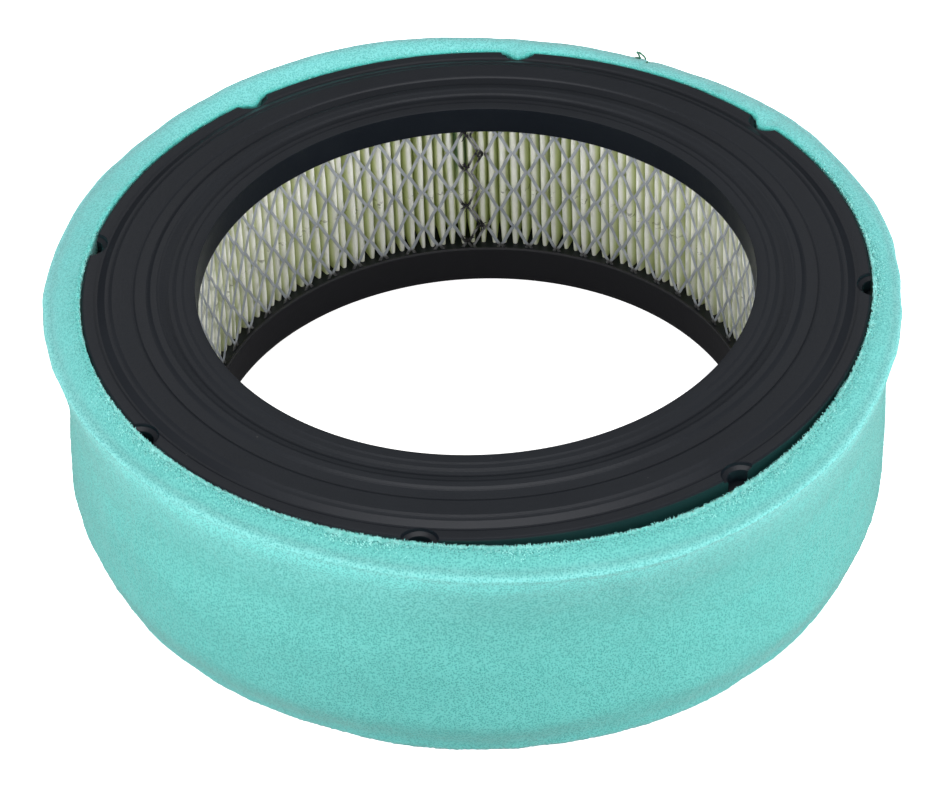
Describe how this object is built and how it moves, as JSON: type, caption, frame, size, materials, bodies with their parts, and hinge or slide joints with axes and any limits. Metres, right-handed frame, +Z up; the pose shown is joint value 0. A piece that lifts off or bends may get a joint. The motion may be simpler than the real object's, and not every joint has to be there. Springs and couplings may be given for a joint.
{
  "type": "round air filter cartridge with foam pre-cleaner",
  "caption": "Round pleated-paper air filter cartridge with moulded end caps and expanded-metal screens, inside a stretched foam pre-cleaner sleeve.",
  "frame": {"origin": "centre of the sleeve's bottom edge, which the object stands on", "axes": "+Z up along the cartridge's axis, towards the notched end cap; the sleeve's sewn seam is 62.5 degrees from +X towards +Y"},
  "size_m": [0.189, 0.189, 0.0602],
  "materials": {
    "foam": "matte",
    "thread": "matte",
    "moulded_cap": "satin",
    "filter_paper": "matte",
    "screen_steel": "satin"
  },
  "bodies": {
    "precleaner": {"foam_sleeve": "foam", "sleeve_seam_thread": "thread"},
    "cartridge": {"upper_end_cap": "moulded_cap", "lower_end_cap": "moulded_cap", "pleated_paper": "filter_paper", "inner_screen": "screen_steel", "outer_screen": "screen_steel"}
  },
  "joints": [
    {"name": "cartridge_lift", "type": "slide", "parent": "precleaner", "child": "cartridge", "axis": [0, 0, 1], "range_m": [0, 0.075]}
  ]
}
